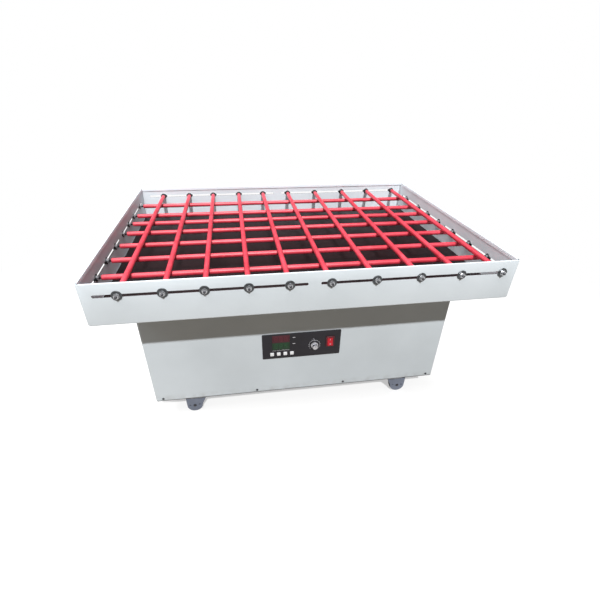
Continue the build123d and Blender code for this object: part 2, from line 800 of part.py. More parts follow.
# ================================ casters =======================================================
axle_z = wheel_r
crown_top = base_bottom - caster_plate_thickness - move_gap
cheek_inside = wheel_width / 2 + wheel_gap
cheek_outside = cheek_inside + cheek_wall
caster_spots = [(-tower_x, -caster_y), (tower_x, -caster_y), (-tower_x, caster_y), (tower_x, caster_y)]


def make_caster(number, stem, heading):
    """A swivel fork and its wheel, trailing behind the kingpin in the direction of heading."""
    along = Vector(cos(radians(heading)), sin(radians(heading)), 0)
    across = Vector(sin(radians(heading)), -cos(radians(heading)), 0)
    side = Plane(origin=(*stem, 0), x_dir=along, z_dir=across)
    with BuildPart() as fork:
        with BuildSketch(side):
            with Locations((caster_trail, axle_z)):
                Circle(cheek_r)
            with Locations((caster_trail / 2, crown_top)):
                Rectangle(cheek_top, crown_thickness, align=(Align.CENTER, Align.MAX))
            make_hull()
        extrude(amount=cheek_outside, both=True)
        with BuildSketch(side):
            with Locations((caster_trail, crown_top - crown_thickness)):
                Rectangle(2 * cheek_top, crown_top, align=(Align.CENTER, Align.MAX))
        extrude(amount=cheek_inside, both=True, mode=Mode.SUBTRACT)
        with BuildSketch(Plane(origin=(*stem, crown_top))):
            Circle(crown_r)
        extrude(amount=-crown_thickness)
        with BuildSketch(Plane(origin=(*stem, crown_top))):
            Circle(kingpin_r)
        extrude(amount=caster_plate_thickness)
        with BuildSketch(side):
            with Locations((caster_trail, axle_z)):
                Circle(axle_r)
        extrude(amount=cheek_outside + axle_head, both=True)
    save(fork.part, f"caster_fork_{number}")
    with BuildPart() as wheel:
        with BuildSketch(side):
            with Locations((caster_trail, axle_z)):
                Circle(wheel_r)
                Circle(axle_r + running_fit, mode=Mode.SUBTRACT)
        extrude(amount=wheel_width / 2, both=True)
    save(wheel.part, f"caster_wheel_{number}")


for number, (stem, heading) in enumerate(zip(caster_spots, caster_headings), 1):
    make_caster(number, stem, heading)

plates = []
for stem in caster_spots:
    with BuildPart() as plate:
        with BuildSketch(Plane(origin=(*stem, base_bottom))):
            Rectangle(caster_plate, caster_plate)
            Circle(kingpin_r + running_fit, mode=Mode.SUBTRACT)
        extrude(amount=-caster_plate_thickness)
    plates.append(plate.part)
group("caster_plates", plates)
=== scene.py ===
"""Rocking platform shaker: the finished look of its tray, clamp bars, cabinet, panel and casters."""

import json
from math import cos, pi, radians, sin

import bmesh
import bpy
from mathutils import Euler, Matrix, Vector


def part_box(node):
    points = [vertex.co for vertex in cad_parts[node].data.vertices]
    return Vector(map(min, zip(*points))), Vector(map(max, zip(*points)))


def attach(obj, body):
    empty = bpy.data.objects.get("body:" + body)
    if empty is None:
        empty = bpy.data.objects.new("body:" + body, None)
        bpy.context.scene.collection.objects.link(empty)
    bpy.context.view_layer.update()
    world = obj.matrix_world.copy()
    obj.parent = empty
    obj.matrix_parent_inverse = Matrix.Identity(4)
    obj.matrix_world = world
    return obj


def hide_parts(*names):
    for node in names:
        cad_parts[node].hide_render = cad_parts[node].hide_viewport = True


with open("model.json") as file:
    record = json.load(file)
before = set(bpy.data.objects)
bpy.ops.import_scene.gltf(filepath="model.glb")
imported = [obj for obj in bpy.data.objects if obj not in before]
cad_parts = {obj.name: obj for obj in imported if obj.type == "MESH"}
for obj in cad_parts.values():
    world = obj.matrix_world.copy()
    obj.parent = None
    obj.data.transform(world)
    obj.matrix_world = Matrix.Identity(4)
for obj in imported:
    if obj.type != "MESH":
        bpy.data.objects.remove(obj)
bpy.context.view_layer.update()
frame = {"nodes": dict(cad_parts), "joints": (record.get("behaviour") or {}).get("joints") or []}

bl_info = {
    "name": "Rocking platform shaker",
    "version": (1, 0, 0),
    "blender": (4, 5, 0),
    "location": "View3D > Sidebar > Shaker",
    "description": "Builds the finished look of a rocking platform shaker around its packed frame",
    "category": "Object",
}

UP = Vector((0, 0, 1))
UPPER_BARS = sorted(n for n in frame["nodes"] if n.startswith("upper_bar_"))
LOWER_BARS = sorted(n for n in frame["nodes"] if n.startswith("lower_bar_"))
CASTERS = (1, 2, 3, 4)
KEYS = (1, 2, 3, 4)
JOINTS = {joint["name"]: joint for joint in frame["joints"]}
FORWARD = (0, -1, 0)

LOOK = "look_"  # keeps the finishes apart from the frame's own materials
CABINET_SHADOW_LINE = (0.0690, 0.0715)  # heights between which a painted shadow line along the cabinet's lower edge fades into the paint
NEAR = 1e-5  # places closer than this count as the same
SQUARE = 0.1  # a normal with less than this along an axis is square to it
THROUGH = 0.01  # how far a cutter reaches past the panel's plate
SLOT_OVERRUN = 0.0005  # how far a slot's cutter reaches past the tray's wall
WASHER_CLEARANCE = 0.00003  # keeps a washer's face off the wall it slides on
BORE_GAP = 0.0002  # between a rod and the washers on it
KEY_LIP = 0.0015  # how far a key's flange stands out behind its cap
SCREW_PLACES = (-0.424, -0.139, 0.139, 0.424)  # along the cabinet's lower edge
MIX_INPUTS = (0, 6, 7)  # the mix node's share and its two colours, among its inputs of every type
MIX_RESULT = 2


# ---- sizes and colours ------------------------------------------------------------------------
def length(name, description, default):
    return bpy.props.FloatProperty(
        name=name, description=description, default=default, min=0, unit="LENGTH", precision=4
    )


def colour(name, description, default):
    return bpy.props.FloatVectorProperty(
        name=name, description=description, default=default, size=3, min=0, max=1, subtype="COLOR"
    )


class ShakerSizes(bpy.types.PropertyGroup):
    sheet: length("Sheet", "Thickness of the tray and cabinet sheet", 0.002)
    tray_corner: length("Tray corner", "Radius of the tray's upright corners", 0.008)
    tray_bend: length("Tray bend", "Radius between the tray's walls and its floor", 0.003)
    hem_height: length("Hem height", "Height of the fold inside the tray's rim", 0.010)
    hem_fold: length("Hem fold", "How far the fold stands in from the wall", 0.0022)
    hem_round: length("Hem rounding", "Radius along the folded rim", 0.0011)
    slot_height: length("Slot height", "Height of the slots that the bars slide in", 0.0066)
    slot_web: length("Slot web", "Wall left between the two slots of a side", 0.029)
    long_slot_margin: length("Long slot margin", "Tray end to slot end in the front and back walls", 0.027)
    side_slot_margin: length("Side slot margin", "Tray face to slot end in the side walls", 0.035)
    cover_corner: length("Cabinet corner", "Radius of the cabinet's upright corners", 0.006)
    cover_bend: length("Cabinet bend", "Radius along the cabinet's top edges", 0.003)
    sleeve_radius: length("Sleeve radius", "Outer radius of a bar's sleeve", 0.0065)
    rod_radius: length("Rod radius", "Radius of a bar's threaded rod", 0.003)
    bare_thread: length("Bare thread", "Rod that shows between a sleeve and its inner nut", 0.008)
    washer_radius: length("Washer radius", "Radius of the wide washer outside a wall", 0.0115)
    inner_washer_radius: length("Inner washer radius", "Radius of the washer inside a wall", 0.009)
    washer: length("Washer", "Thickness of a washer", 0.0016)
    spring_radius: length("Spring washer radius", "Radius of the split spring washer", 0.0062)
    spring: length("Spring washer", "Thickness of the split spring washer", 0.0014)
    nut_flats: length("Nut flats", "Width across the flats of a nut", 0.010)
    nut: length("Nut", "Height of a nut", 0.005)
    thread_pitch: length("Thread pitch", "Distance between the turns of a thread", 0.001)
    screw_rise: length("Screw rise", "Height of the cabinet screws above its lower edge", 0.009)
    screw_radius: length("Screw radius", "Radius of a cabinet screw's head", 0.0038)


class ShakerColours(bpy.types.PropertyGroup):
    paint: colour("Paint", "Pale powder coat of the tray and cabinet", (0.675, 0.735, 0.78))
    paint_shade: colour("Paint shade", "Darker drifts in the pale paint", (0.60, 0.655, 0.695))
    sleeve: colour("Sleeve", "Sleeves of the clamp bars", (0.63, 0.048, 0.078))
    sleeve_shade: colour("Sleeve shade", "Worn stretches of the sleeves", (0.46, 0.022, 0.042))
    mat: colour("Mat", "Rubber mat", (0.008, 0.0040, 0.005))
    mat_dust: colour("Mat dust", "Dust on the rubber mat", (0.017, 0.0085, 0.010))
    washer: colour("Washer", "Blackened washers", (0.10, 0.105, 0.11))
    zinc: colour("Zinc", "Plated nuts", (0.60, 0.61, 0.63))
    thread: colour("Thread", "Oiled threaded rod", (0.10, 0.10, 0.11))
    panel: colour("Panel", "Control panel overlay", (0.007, 0.006, 0.010))
    display_upper: colour("Upper display", "Red window of the display", (0.060, 0.004, 0.012))
    display_lower: colour("Lower display", "Green window of the display", (0.004, 0.032, 0.010))
    key: colour("Key", "Key caps", (0.80, 0.81, 0.84))
    knob: colour("Knob", "Speed knob", (0.82, 0.82, 0.87))
    switch: colour("Switch", "Rocker of the power switch", (0.50, 0.006, 0.020))
    caster: colour("Caster", "Pressed forks of the casters", (0.18, 0.205, 0.265))
    wheel: colour("Wheel", "Caster wheels", (0.035, 0.036, 0.040))
    frame_paint: colour("Frame paint", "Inner frames and stands", (0.22, 0.23, 0.24))


def sizes():
    return bpy.context.scene.shaker_sizes


def colours():
    return bpy.context.scene.shaker_colours


# ---- modelling --------------------------------------------------------------------------------
def clear_selection():
    if bpy.context.mode != "OBJECT":
        bpy.ops.object.mode_set(mode="OBJECT")
    bpy.ops.object.select_all(action="DESELECT")


def work_on(piece):
    clear_selection()
    piece.select_set(True)
    bpy.context.view_layer.objects.active = piece


def apply_place(piece, name):
    """Name a new primitive and move its place, turn and scale into its mesh."""
    piece.name = name
    bpy.ops.object.transform_apply(location=True, rotation=True, scale=True)
    return piece


def block(name, low, high):
    """A cube stretched to fill the box between two corners."""
    clear_selection()
    low, high = Vector(low), Vector(high)
    bpy.ops.mesh.primitive_cube_add(size=1, location=(low + high) / 2, scale=high - low)
    return apply_place(bpy.context.object, name)


def pick(piece, kind, test):
    """Enter edit mode with only the faces or edges selected that pass the test."""
    work_on(piece)
    bpy.ops.object.mode_set(mode="EDIT")
    bpy.ops.mesh.select_mode(type=kind)
    bpy.ops.mesh.select_all(action="DESELECT")
    mesh = bmesh.from_edit_mesh(piece.data)
    for element in mesh.faces if kind == "FACE" else mesh.edges:
        if test(element):
            element.select_set(True)
    bmesh.update_edit_mesh(piece.data)


def leave_edit():
    bpy.ops.object.mode_set(mode="OBJECT")


def round_edges(piece, test, radius, segments=4):
    pick(piece, "EDGE", test)
    bpy.ops.mesh.bevel(offset=radius, segments=segments, affect="EDGES")
    leave_edit()
    return piece


def runs_along(axis):
    """A test for straight edges along a row axis."""
    def test(edge):
        run = edge.verts[1].co - edge.verts[0].co
        return abs(run[axis]) > 0.999 * run.length
    return test


def lies_at(axis, place):
    """A test for edges or faces whose every corner has this coordinate."""
    return lambda element: all(abs(v.co[axis] - place) < NEAR for v in element.verts)


def soft_block(name, low, high, radius, segments=3):
    """A block with every edge rounded."""
    return round_edges(block(name, low, high), lambda edge: True, radius, segments)


def pill(name, low, high, axis):
    """A slot-shaped bar: a block along an axis whose long edges are rounded all the way."""
    piece = block(name, low, high)
    across = [high[i] - low[i] for i in range(3) if i != axis]
    nearly_half = 0.4999  # the rounds stop just short of meeting
    return round_edges(piece, runs_along(axis), min(across) * nearly_half, 8)


def turned(name, profile, sides=32, closed=False):
    """Turn (radius, height) points about Z, ring by ring. A closed profile makes a ring."""
    clear_selection()
    radius, height = profile[0]
    bpy.ops.mesh.primitive_circle_add(vertices=sides, radius=radius, location=(0, 0, height))
    piece = apply_place(bpy.context.object, name)
    bpy.ops.object.mode_set(mode="EDIT")
    bpy.ops.mesh.select_mode(type="VERT")
    bpy.ops.mesh.select_all(action="SELECT")
    for next_radius, next_height in profile[1:] + (profile[:1] if closed else []):
        rise = (0, 0, next_height - height)
        bpy.ops.mesh.extrude_region_move(TRANSFORM_OT_translate={"value": rise})
        share = next_radius / radius
        bpy.ops.transform.resize(value=(share, share, 1), center_override=(0, 0, next_height))
        radius, height = next_radius, next_height
    bpy.ops.mesh.select_all(action="SELECT")
    if closed:
        bpy.ops.mesh.remove_doubles(threshold=1e-6)
    else:
        bpy.ops.mesh.fill_holes(sides=0)
    bpy.ops.mesh.normals_make_consistent(inside=False)
    leave_edit()
    return piece


def mirrored(profile):
    """The other half of a (radius, height) profile, below its middle."""
    return [(radius, -height) for radius, height in reversed(profile)]


def apply_modifier(piece, kind, **settings):
    """Add a modifier with these settings to a piece and apply it."""
    work_on(piece)
    modifier = piece.modifiers.new(kind.lower(), kind)
    for key, value in settings.items():
        setattr(modifier, key, value)
    bpy.ops.object.modifier_apply(modifier=modifier.name)
    return piece


def combine(piece, operation, others):
    """Work each of the others into the piece with a boolean and remove it."""
    for other in others:
        apply_modifier(piece, "BOOLEAN", operation=operation, solver="EXACT", object=other)
        bpy.data.objects.remove(other)
    return piece


def cut(piece, *cutters):
    """Take each cutter out of the piece."""
    return combine(piece, "DIFFERENCE", cutters)


def fuse(piece, *others):
    """Make one closed solid of pieces that overlap."""
    return combine(piece, "UNION", others)


def join(name, pieces):
    clear_selection()
    for piece in pieces:
        piece.select_set(True)
    bpy.context.view_layer.objects.active = pieces[0]
    bpy.ops.object.join()
    pieces[0].name = name
    return pieces[0]


def copy_of(piece, name):
    twin = piece.copy()
    twin.data = piece.data.copy()
    twin.name = name
    bpy.context.scene.collection.objects.link(twin)
    return twin


def stand(piece, origin, direction):
    """Carry a piece made about Z to its place, with its Z turned to the direction."""
    turn = Vector(direction).to_track_quat("Z", "Y").to_matrix().to_4x4()
    piece.data.transform(Matrix.Translation(origin) @ turn)
    return piece


def soften(piece, radius, segments=2, angle=30):
    """Round every edge sharper than the angle with a bevel modifier."""
    bevel = {"width": radius, "segments": segments, "limit_method": "ANGLE", "angle_limit": radians(angle)}
    return apply_modifier(piece, "BEVEL", **bevel)


def dress(piece, body, finish, nodes=(), smooth=35):
    """Shade a finished piece smooth, give it its finish and body, and hide the frame nodes it stands in for.
    """
    work_on(piece)
    bpy.ops.object.shade_smooth_by_angle(angle=radians(smooth))
    piece.data.materials.clear()
    piece.data.materials.append(finish)
    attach(piece, body)
    if nodes:
        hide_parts(*nodes)
    return piece


def middle_of(node):
    low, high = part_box(node)
    return (low + high) / 2


# ---- shader groups ----------------------------------------------------------------------------
def put_in(tree, socket, value):
    """Link a socket to another node's output, or give it a value of its own."""
    if isinstance(value, bpy.types.NodeSocket):
        tree.links.new(value, socket)
    else:
        socket.default_value = value


def add_node(tree, kind, settings=None, **inputs):
    """Add a node, set its own settings, and set or link its inputs by name."""
    made = tree.nodes.new(kind)
    for key, value in (settings or {}).items():
        setattr(made, key, value)
    for key, value in inputs.items():
        put_in(tree, made.inputs[key.replace("_", " ")], value)
    return made


def blend_colours(tree, share, first, second):
    """Mix two colours by a share from 0 to 1."""
    made = add_node(tree, "ShaderNodeMix", {"data_type": "RGBA"})
    for number, value in zip(MIX_INPUTS, (share, first, second)):
        put_in(tree, made.inputs[number], value)
    return made.outputs[MIX_RESULT]


def between(tree, value, low, high, to_low=0.0, to_high=1.0):
    """Map a value from one range to another, clamped."""
    ends = {"From_Min": low, "From_Max": high, "To_Min": to_low, "To_Max": to_high}
    return add_node(tree, "ShaderNodeMapRange", Value=value, **ends).outputs["Result"]


def calculate(tree, operation, *values, kind="ShaderNodeMath"):
    """The outputs of a math node that works on these values in order."""
    made = add_node(tree, kind, {"operation": operation})
    for socket, value in zip(made.inputs, values):
        put_in(tree, socket, value)
    return made.outputs


def noise(tree, place, scale, detail, roughness):
    made = add_node(tree, "ShaderNodeTexNoise", Vector=place, Scale=scale, Detail=detail, Roughness=roughness)
    return made.outputs["Fac"]


def height_of(tree, place):
    return add_node(tree, "ShaderNodeSeparateXYZ", Vector=place).outputs["Z"]


def new_group(name, inputs, outputs):
    """A shader group with named sockets: inputs are (name, type, default), outputs (name, type)."""
    tree = bpy.data.node_groups.new(name, "ShaderNodeTree")
    for label, kind, default in inputs:
        socket = tree.interface.new_socket(label, in_out="INPUT", socket_type="NodeSocket" + kind)
        if default is not None:
            socket.default_value = default
    for label, kind in outputs:
        tree.interface.new_socket(label, in_out="OUTPUT", socket_type="NodeSocket" + kind)
    return tree, tree.nodes.new("NodeGroupInput").outputs, tree.nodes.new("NodeGroupOutput").inputs


def drifts_group():
    """Two colours that drift into each other in soft clouds, as on sprayed or moulded surfaces."""
    tree, given, put = new_group(
        "drifts",
        [("Vector", "Vector", None), ("Tone", "Color", (1, 1, 1, 1)), ("Shade", "Color", (0, 0, 0, 1)),
         ("Scale", "Float", 4.0)],
        [("Color", "Color"), ("Mask", "Float")],
    )
    mask = between(tree, noise(tree, given["Vector"], given["Scale"], 4.0, 0.55), 0.35, 0.68)
    tree.links.new(blend_colours(tree, mask, given["Tone"], given["Shade"]), put["Color"])
    tree.links.new(mask, put["Mask"])
    return tree


def grime_group():
    """Dirt that gathers below a height, in small smudges."""
    tree, given, put = new_group(
        "grime",
        [("Vector", "Vector", None), ("Color", "Color", (1, 1, 1, 1)),
         ("Dirt", "Color", (0.1, 0.09, 0.08, 1)), ("Low", "Float", 0.07), ("High", "Float", 0.16),
         ("Amount", "Float", 0.3)],
        [("Color", "Color")],
    )
    low_band = between(tree, height_of(tree, given["Vector"]), given["Low"], given["High"], 1.0, 0.0)
    smudges = between(tree, noise(tree, given["Vector"], 38.0, 5.0, 0.6), 0.42, 0.72)
    both = calculate(tree, "MULTIPLY", low_band, smudges)[0]
    share = calculate(tree, "MULTIPLY", both, given["Amount"])[0]
    tree.links.new(blend_colours(tree, share, given["Color"], given["Dirt"]), put["Color"])
    return tree


def peel_group():
    """The fine orange peel of a sprayed coat, as a height and a roughness."""
    tree, given, put = new_group(
        "peel",
        [("Vector", "Vector", None), ("Scale", "Float", 900.0), ("Smooth", "Float", 0.35),
         ("Rough", "Float", 0.5)],
        [("Height", "Float"), ("Roughness", "Float")],
    )
    tree.links.new(noise(tree, given["Vector"], given["Scale"], 2.0, 0.5), put["Height"])
    wide = noise(tree, given["Vector"], 9.0, 4.0, 0.6)
    tree.links.new(between(tree, wide, 0.3, 0.7, given["Smooth"], given["Rough"]), put["Roughness"])
    return tree


def scuffs_group():
    """Thin stretched marks, as scratches on metal or rubs on rubber, and a mask of them."""
    tree, given, put = new_group(
        "scuffs",
        [("Vector", "Vector", None), ("Stretch", "Vector", (1, 1, 8)), ("Scale", "Float", 60.0)],
        [("Mask", "Float")],
    )
    pulled = calculate(tree, "MULTIPLY", given["Vector"], given["Stretch"], kind="ShaderNodeVectorMath")[0]
    marks = noise(tree, pulled, given["Scale"], 6.0, 0.7)
    tree.links.new(between(tree, marks, 0.52, 0.72), put["Mask"])
    return tree


GROUPS = {"drifts": drifts_group, "grime": grime_group, "peel": peel_group, "scuffs": scuffs_group}


class Finish:
    """One material under construction: a Principled BSDF fed by nodes on Object coordinates."""

    def __init__(self, name, **sockets):
        self.material = bpy.data.materials.new(LOOK + name)
        self.material.use_nodes = True
        self.tree = self.material.node_tree
        self.shader = self.tree.nodes["Principled BSDF"]
        for key, value in sockets.items():
            self.shader.inputs[key.replace("_", " ")].default_value = value
        self.place = add_node(self.tree, "ShaderNodeTexCoord").outputs["Object"]

    def group(self, name, **inputs):
        tree = bpy.data.node_groups.get(name) or GROUPS[name]()
        made = add_node(self.tree, "ShaderNodeGroup", {"node_tree": tree}, Vector=self.place, **inputs)
        return made.outputs

    def feed(self, socket, source):
        self.tree.links.new(source, self.shader.inputs[socket])

    def bump(self, height, strength, distance):
        made = add_node(self.tree, "ShaderNodeBump", Strength=strength, Distance=distance, Height=height)
        self.feed("Normal", made.outputs["Normal"])


def rgba(value, factor=1.0):
    return (*(channel * factor for channel in value), 1.0)


# ---- finishes ---------------------------------------------------------------------------------
def white_paint(name="white_paint", depth=1.0):
    """The pale powder coat with a painted shadow line along the cabinet's lower edge; a depth under 1 darkens
    the whole coat as painted shade.
    """
    made = Finish(name)
    tone, shade = rgba(colours().paint, depth), rgba(colours().paint_shade, depth)
    drift = made.group("drifts", Tone=tone, Shade=shade, Scale=3.5)
    # the second colour here is painted shade: a dark line along the cabinet's lower edge, where the shadow
    # under it falls
    brown_dust, shadow_line_tone = (0.20, 0.18, 0.15, 1), (0.035, 0.035, 0.04, 1)
    dirt = made.group("grime", Color=drift["Color"], Dirt=brown_dust, Low=0.066, High=0.095, Amount=0.40)
    # painted shadow line: the coat turns dark below these heights, in place of the shade under the cabinet
    shadow_line_mask = between(made.tree, height_of(made.tree, made.place), *CABINET_SHADOW_LINE, 1.0, 0.0)
    color = blend_colours(made.tree, shadow_line_mask, dirt["Color"], shadow_line_tone)
    peel = made.group("peel", Scale=700.0, Smooth=0.36, Rough=0.46)
    made.feed("Base Color", color)
    made.feed("Roughness", peel["Roughness"])
    made.bump(peel["Height"], 0.10, 0.0004)
    return made.material


def red_sleeve():
    made = Finish("red_sleeve", Coat_Weight=0.15, Coat_Roughness=0.3)
    drift = made.group("drifts", Tone=rgba(colours().sleeve), Shade=rgba(colours().sleeve_shade), Scale=14.0)
    rubs = made.group("scuffs", Stretch=(1.0, 1.0, 1.0), Scale=42.0)
    pale = blend_colours(made.tree, rubs["Mask"], drift["Color"], rgba(colours().sleeve, 1.12))
    made.feed("Base Color", pale)
    made.feed("Roughness", between(made.tree, rubs["Mask"], 0, 1, 0.42, 0.60))
    fine = made.group("peel", Scale=420.0)
    made.bump(fine["Height"], 0.12, 0.0003)
    return made.material


def black_mat():
    made = Finish("black_mat", Specular_IOR_Level=0.12)
    dust = made.group("drifts", Tone=rgba(colours().mat), Shade=rgba(colours().mat_dust), Scale=5.0)
    specks = made.group("scuffs", Stretch=(1.0, 1.0, 1.0), Scale=160.0)
    worn = blend_colours(made.tree, specks["Mask"], dust["Color"], rgba(colours().mat, 0.8))
    made.feed("Base Color", worn)
    made.feed("Roughness", between(made.tree, dust["Mask"], 0, 1, 0.42, 0.72))
    weave = add_node(made.tree, "ShaderNodeTexVoronoi", Vector=made.place, Scale=330.0)
    made.bump(weave.outputs["Distance"], 0.35, 0.0006)
    return made.material


def metal(name, tone, roughness, stretch, spread=0.18):
    """A metal finish with streaks along one axis."""
    made = Finish(name, Metallic=1.0)
    streaks = made.group("scuffs", Stretch=stretch, Scale=90.0)
    made.feed("Base Color", blend_colours(made.tree, streaks["Mask"], rgba(tone), rgba(tone, 0.62)))
    made.feed("Roughness", between(made.tree, streaks["Mask"], 0, 1, roughness, roughness + spread))
    made.bump(streaks["Mask"], 0.08, 0.0002)
    return made.material


def coated(name, tone, roughness, shade=0.8, grain=600.0, strength=0.12):
    """A painted or moulded finish with soft drifts and a fine grain."""
    made = Finish(name)
    drift = made.group("drifts", Tone=rgba(tone), Shade=rgba(tone, shade), Scale=12.0)
    peel = made.group("peel", Scale=grain, Smooth=roughness, Rough=min(1.0, roughness + 0.12))
    made.feed("Base Color", drift["Color"])
    made.feed("Roughness", peel["Roughness"])
    made.bump(peel["Height"], strength, 0.0003)
    return made.material


FINISHES = {
    "white_paint": white_paint,
    # the cabinet gets a copy of the same coat darkened to 0.87: painted shade, not a paint of its own
    "cabinet_paint_shaded": lambda: white_paint("cabinet_paint_shaded", 0.87),
    "red_sleeve": red_sleeve,
    "black_mat": black_mat,
    "zinc": lambda: metal("zinc", colours().zinc, 0.30, (1, 1, 1)),
    "washer": lambda: metal("washer", colours().washer, 0.34, (1, 1, 1)),
    "thread": lambda: metal("thread", colours().thread, 0.42, (1, 1, 1)),
    "turned_steel": lambda: metal("turned_steel", (0.52, 0.52, 0.54), 0.26, (0.2, 1, 1)),
    # painted shade for the slots' cut faces, tinted faintly red as a painted reflection of the sleeves
    "slot_shade": lambda: coated("slot_shade", (0.030, 0.018, 0.022), 0.5),
    "switch_bezel": lambda: coated("switch_bezel", (0.085, 0.006, 0.012), 0.3, 0.8, 1400.0, 0.1),
    "aluminium": lambda: metal("aluminium", (0.66, 0.67, 0.69), 0.34, (1, 0.2, 1)),
    "knob": lambda: metal("knob", colours().knob, 0.28, (1, 0.3, 1), 0.1),
    "frame_paint": lambda: coated("frame_paint", colours().frame_paint, 0.5),
    "casting": lambda: coated("casting", (0.060, 0.075, 0.095), 0.55, 0.7, 260.0, 0.4),
    "motor_paint": lambda: coated("motor_paint", (0.022, 0.024, 0.027), 0.42, 0.7),
    "nylon": lambda: coated("nylon", (0.66, 0.64, 0.58), 0.4),
    "circuit_board": lambda: coated("circuit_board", (0.010, 0.085, 0.030), 0.35),
    "black_plastic": lambda: coated("black_plastic", (0.012, 0.012, 0.014), 0.38, 0.8, 1400.0, 0.2),
    "panel_overlay": lambda: coated("panel_overlay", colours().panel, 0.30, 1.5, 1500.0, 0.08),
    "print_white": lambda: coated("print_white", (0.62, 0.62, 0.66), 0.4),
    "display_upper": lambda: coated("display_upper", colours().display_upper, 0.10, 0.7, 900.0, 0.0),
    "display_lower": lambda: coated("display_lower", colours().display_lower, 0.10, 0.7, 900.0, 0.0),
    "segments_red": lambda: coated("segments_red", (0.13, 0.012, 0.025), 0.2),
    "segments_green": lambda: coated("segments_green", (0.012, 0.085, 0.028), 0.2),
    "key_white": lambda: coated("key_white", colours().key, 0.25, 0.94),
    "switch_red": lambda: coated("switch_red", colours().switch, 0.18, 0.8, 500.0, 0.04),
    "caster_steel": lambda: coated("caster_steel", colours().caster, 0.36, 0.75, 500.0, 0.2),
    "wheel_rubber": lambda: coated("wheel_rubber", colours().wheel, 0.6, 1.4, 800.0, 0.3),
}


def finish(name):
    return bpy.data.materials.get(LOOK + name) or FINISHES[name]()


# ---- operators --------------------------------------------------------------------------------
class MakeTray(bpy.types.Operator):
    """Fold the slotted tray: rounded corners, a hem inside the rim and two slots in each wall"""

    bl_idname = "shaker.tray"
    bl_label = "Tray"

    def execute(self, context):
        s = sizes()
        low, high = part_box("tray")
        floor, under_hem = low.z + s.sheet, high.z - s.hem_height
        piece = block("tray_shell", low, high)
        round_edges(piece, runs_along(2), s.tray_corner, 8)
        round_edges(piece, lies_at(2, low.z), s.tray_bend, 4)
        pick(piece, "FACE", lies_at(2, high.z))
        bpy.ops.mesh.inset(thickness=s.sheet + s.hem_fold)
        for drop in (-s.hem_height, floor - under_hem):
            bpy.ops.mesh.extrude_region_move(TRANSFORM_OT_translate={"value": (0, 0, drop)})
        leave_edit()

        def lower_inner_wall(face):
            heights = [v.co.z for v in face.verts]
            inside = all(low[i] + s.sheet < v.co[i] < high[i] - s.sheet for v in face.verts for i in (0, 1))
            below_hem = max(heights) < under_hem + NEAR and min(heights) > low.z + s.sheet / 2
            return inside and below_hem and abs(face.normal.z) < SQUARE

        # below the hem the inner wall stands back to the sheet's own thickness
        pick(piece, "FACE", lower_inner_wall)
        bpy.ops.mesh.extrude_region_shrink_fatten(TRANSFORM_OT_shrink_fatten={"value": -s.hem_fold})
        leave_edit()
        round_edges(piece, lies_at(2, high.z), s.hem_round, 3)
        self.cut_slots(piece, s, "upper_bar_1", 0, s.long_slot_margin)
        self.cut_slots(piece, s, "lower_bar_1", 1, s.side_slot_margin)
        dress(piece, "platform", finish("white_paint"), ["tray"])
        self.shade_slots(piece, low, high, s)
        return {"FINISHED"}

    def cut_slots(self, piece, s, bar, along, margin):
        """Cut both slots of two facing walls, at the height of the bars that slide in them."""
        low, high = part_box("tray")
        level, across = middle_of(bar).z, 1 - along
        reach = s.sheet + s.hem_fold + SLOT_OVERRUN
        ends = (low[along] + margin, -s.slot_web / 2, s.slot_web / 2, high[along] - margin)
        for start, end in (ends[:2], ends[2:]):
            corner = [0, 0, level - s.slot_height / 2]
            far = [0, 0, level + s.slot_height / 2]
            corner[along], far[along] = start, end
            corner[across], far[across] = low[across] - reach, high[across] + reach
            cut(piece, pill("slot", corner, far, across))

    def shade_slots(self, piece, low, high, s):
        """Paint the cut faces that line the slots dark: painted shade inside the slots, tinted faintly red as
        a painted reflection of the sleeves.
        """
        # the second material is painted shade inside the slots
        piece.data.materials.append(finish("slot_shade"))
        depth = s.sheet + s.hem_fold
        reach = s.slot_height / 2 + 0.0001
        for bar, axis in (("upper_bar_1", 1), ("lower_bar_1", 0)):
            level = middle_of(bar).z
            for face in piece.data.polygons:
                in_slot = abs(face.center.z - level) < reach
                in_wall = min(face.center[axis] - low[axis], high[axis] - face.center[axis]) < depth
                if in_slot and in_wall and abs(face.normal[axis]) < SQUARE:
                    face.material_index = 1


class MakeMat(bpy.types.Operator):
    """Lay the rubber mat on the tray's floor"""

    bl_idname = "shaker.mat"
    bl_label = "Rubber mat"

    def execute(self, context):
        low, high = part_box("rubber_mat")
        corner, edge = 0.006, 0.0015
        piece = block("mat_sheet", low, high)
        round_edges(piece, runs_along(2), corner, 4)
        round_edges(piece, lies_at(2, high.z), edge, 3)
        dress(piece, "platform", finish("black_mat"), ["rubber_mat"])
        return {"FINISHED"}


def thread_profile(start, end, radius, pitch):
    """A rod's outline from start to end: plain, then grooved by a thread, with a chamfered tip."""
    groove = radius * 0.87
    turns = int((end - start) / pitch)
    points = []
    for turn in range(turns):
        height = start + turn * pitch
        points += [(groove, height), (radius, height + pitch / 2)]
    return points + [(groove, end - pitch / 2), (groove * 0.9, end)]


